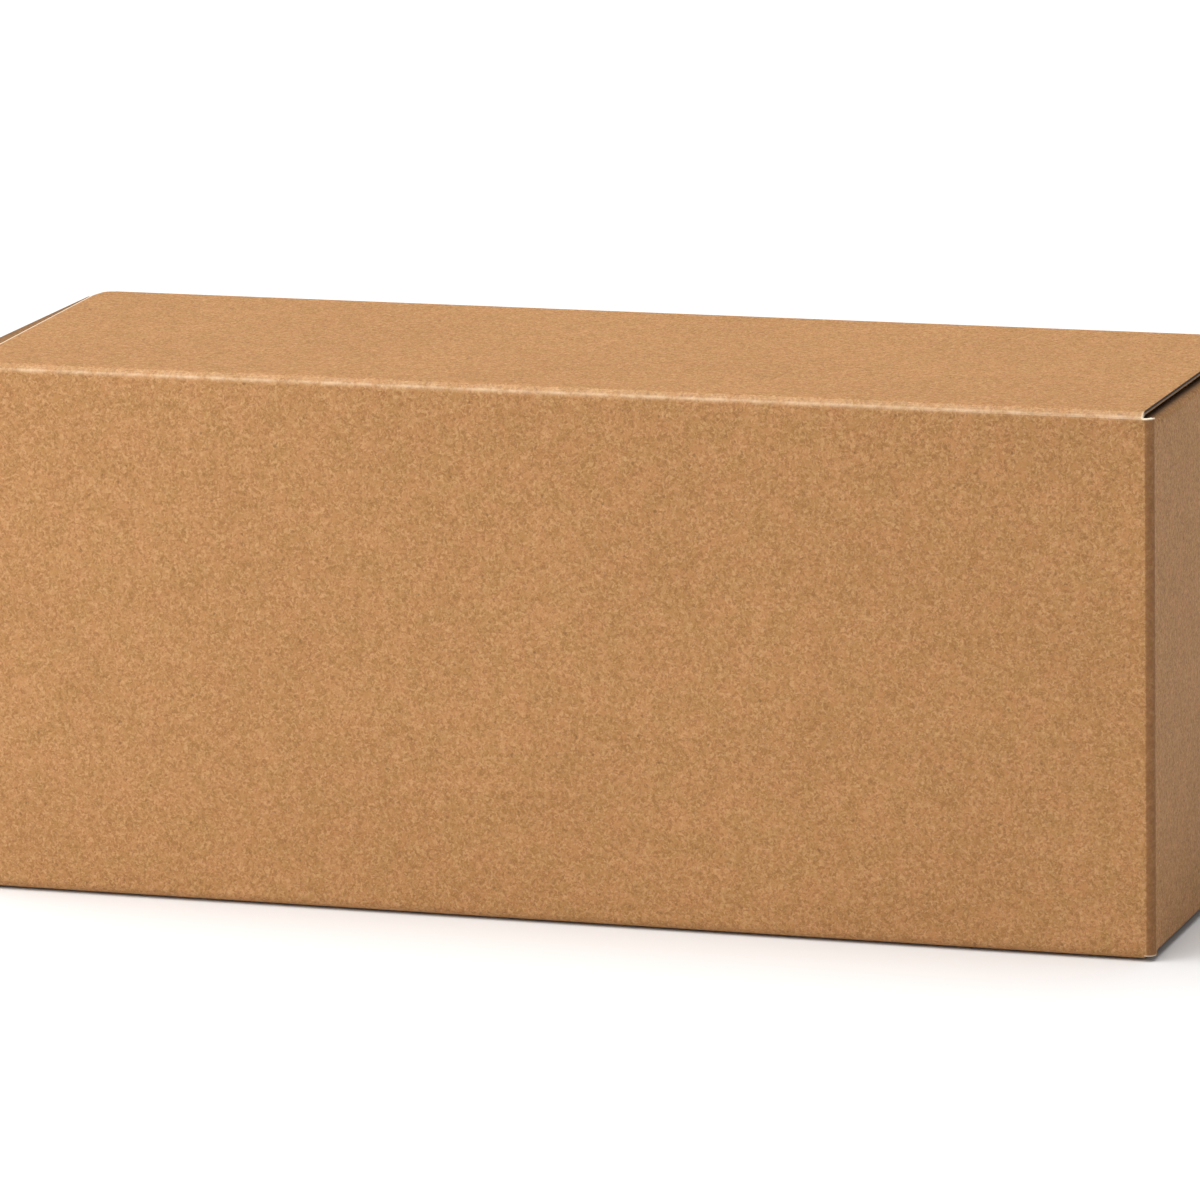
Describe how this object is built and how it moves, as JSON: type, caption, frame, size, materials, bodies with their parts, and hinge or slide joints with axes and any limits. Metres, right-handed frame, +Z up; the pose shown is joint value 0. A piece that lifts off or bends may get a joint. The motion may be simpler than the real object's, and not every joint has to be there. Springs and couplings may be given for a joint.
{
  "type": "closed cardboard box",
  "caption": "Long rectangular carton folded from one sheet of plain brown board, closed above and below by hinged closures whose tabs tuck in behind the back wall",
  "frame": {"origin": "middle of the base, on the surface that the carton stands on", "axes": "+X along the length, to the right seen from the front; +Y from the front to the back; +Z up"},
  "size_m": [0.3, 0.105, 0.129],
  "materials": {
    "kraft_board": "matt brown kraft board with fine fibres"
  },
  "bodies": {
    "carton": {"carton_body": "kraft_board"},
    "upper_flap": {"top_closure": "kraft_board"},
    "lower_flap": {"bottom_closure": "kraft_board"}
  },
  "joints": [
    {"name": "top_closure_hinge", "type": "hinge", "parent": "carton", "child": "upper_flap", "pos_m": [0, -0.0518, 0.1283], "axis": [1, 0, 0], "range_deg": [0, 170]},
    {"name": "bottom_closure_hinge", "type": "hinge", "parent": "carton", "child": "lower_flap", "pos_m": [0, -0.0518, 0.0007], "axis": [-1, 0, 0], "range_deg": [0, 170]}
  ]
}
